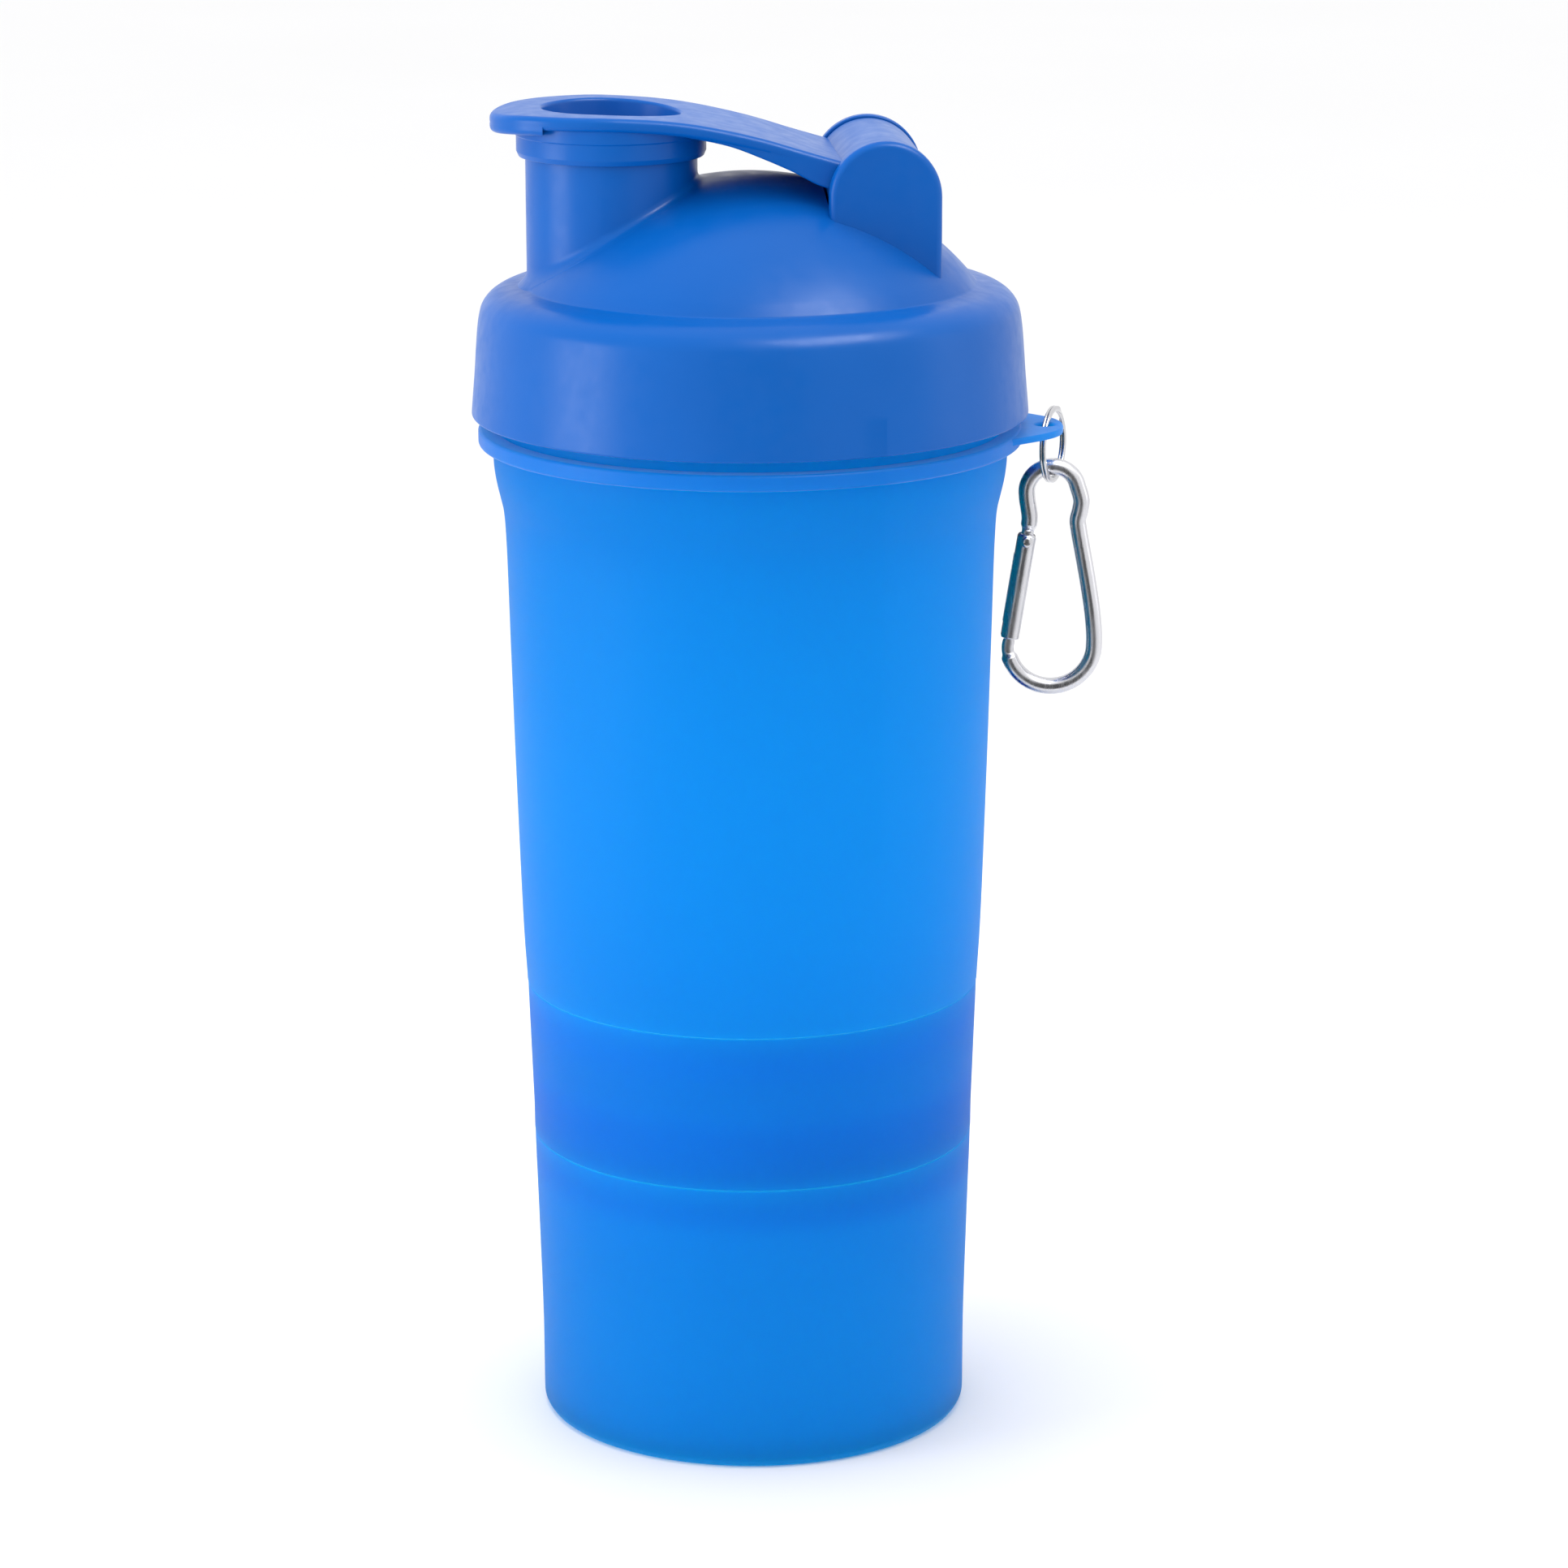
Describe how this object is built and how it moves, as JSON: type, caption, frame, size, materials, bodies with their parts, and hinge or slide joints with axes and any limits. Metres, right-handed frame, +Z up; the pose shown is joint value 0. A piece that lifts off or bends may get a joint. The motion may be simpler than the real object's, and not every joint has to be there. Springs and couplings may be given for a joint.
{
  "type": "protein shaker bottle",
  "caption": "Shaker bottle with a screw lid, flip cap over a spout, carry ring with a small carabiner, and screw-on storage compartments under the cup.",
  "frame": {"origin": "on the bottle's axis, on the flat underside that it stands on", "axes": "+Z up along the bottle's axis; the spout is toward -X and the flip cap's hinge toward +X, with its pins along Y"},
  "size_m": [0.112, 0.098, 0.2374],
  "materials": {
    "lid_blue": "satin opaque blue polypropylene",
    "frosted_blue": "frosted translucent blue polypropylene, smooth outside",
    "tray_blue": "translucent blue polypropylene",
    "silicone": "milky clear silicone",
    "steel": "nickel-plated steel",
    "aluminium": "polished aluminium"
  },
  "bodies": {
    "bottom": {"bottom_compartment": "frosted_blue"},
    "lower_seal": {"lower_seal": "silicone"},
    "middle": {"middle_compartment": "frosted_blue"},
    "tray": {"pill_tray": "tray_blue"},
    "upper_seal": {"upper_seal": "silicone"},
    "cup": {"cup": "frosted_blue"},
    "carry_ring": {"carry_ring": "frosted_blue"},
    "key_ring": {"key_ring": "steel"},
    "carabiner": {"carabiner_body": "aluminium", "gate_rivet": "steel"},
    "gate": {"carabiner_gate": "aluminium", "gate_spring": "steel"},
    "lid_gasket": {"lid_gasket": "silicone"},
    "lid": {"lid": "lid_blue", "strainer": "lid_blue"},
    "flip_cap": {"flip_cap": "lid_blue"}
  },
  "joints": [
    {"name": "lower_screw_lift", "type": "slide", "parent": "bottom", "child": "lower_seal", "axis": [0, 0, 1], "range_m": [0, 0.0101]},
    {"name": "lower_screw_turn", "type": "hinge", "parent": "lower_seal", "child": "middle", "pos_m": [0, 0, 0.0522], "axis": [0, 0, 1], "range_deg": [0, 900]},
    {"name": "tray_lift", "type": "slide", "parent": "middle", "child": "tray", "axis": [0, 0, 1], "range_m": [0, 0.0075]},
    {"name": "upper_screw_lift", "type": "slide", "parent": "middle", "child": "upper_seal", "axis": [0, 0, 1], "range_m": [0, 0.0101]},
    {"name": "upper_screw_turn", "type": "hinge", "parent": "upper_seal", "child": "cup", "pos_m": [0, 0, 0.0803], "axis": [0, 0, 1], "range_deg": [0, 900]},
    {"name": "carry_ring_turn", "type": "hinge", "parent": "cup", "child": "carry_ring", "pos_m": [0, 0, 0.1798], "axis": [0, 0, 1], "continuous": true},
    {"name": "key_ring_turn", "type": "hinge", "parent": "carry_ring", "child": "key_ring", "pos_m": [0.05175, -0.00389, 0.1804], "axis": [0, 0, 1], "range_deg": [-65, 10]},
    {"name": "carabiner_swing", "type": "hinge", "parent": "key_ring", "child": "carabiner", "pos_m": [0.0538, 0.00078, 0.17015], "axis": [-0.4003, -0.9164, 0], "range_deg": [-1.5, 90]},
    {"name": "gate_hinge", "type": "hinge", "parent": "carabiner", "child": "gate", "pos_m": [0.04926, 0.00112, 0.1592], "axis": [-0.075, -0.9972, 0], "range_deg": [0, 24], "stiffness_Nm_per_rad": 0.01, "springref_deg": -17.19},
    {"name": "lid_screw_lift", "type": "slide", "parent": "cup", "child": "lid_gasket", "axis": [0, 0, 1], "range_m": [0, 0.0181]},
    {"name": "lid_screw_turn", "type": "hinge", "parent": "lid_gasket", "child": "lid", "pos_m": [0, 0, 0.2015], "axis": [0, 0, 1], "range_deg": [0, 1080]},
    {"name": "flip_cap_hinge", "type": "hinge", "parent": "lid", "child": "flip_cap", "pos_m": [0.0221, 0, 0.2235], "axis": [0, 1, 0], "range_deg": [0, 175]}
  ],
  "couplings": [
    {"joint": "lower_screw_lift", "follows": "lower_screw_turn", "m_per_rad": 0.00063662},
    {"joint": "upper_screw_lift", "follows": "upper_screw_turn", "m_per_rad": 0.00063662},
    {"joint": "lid_screw_lift", "follows": "lid_screw_turn", "m_per_rad": 0.00095493}
  ]
}
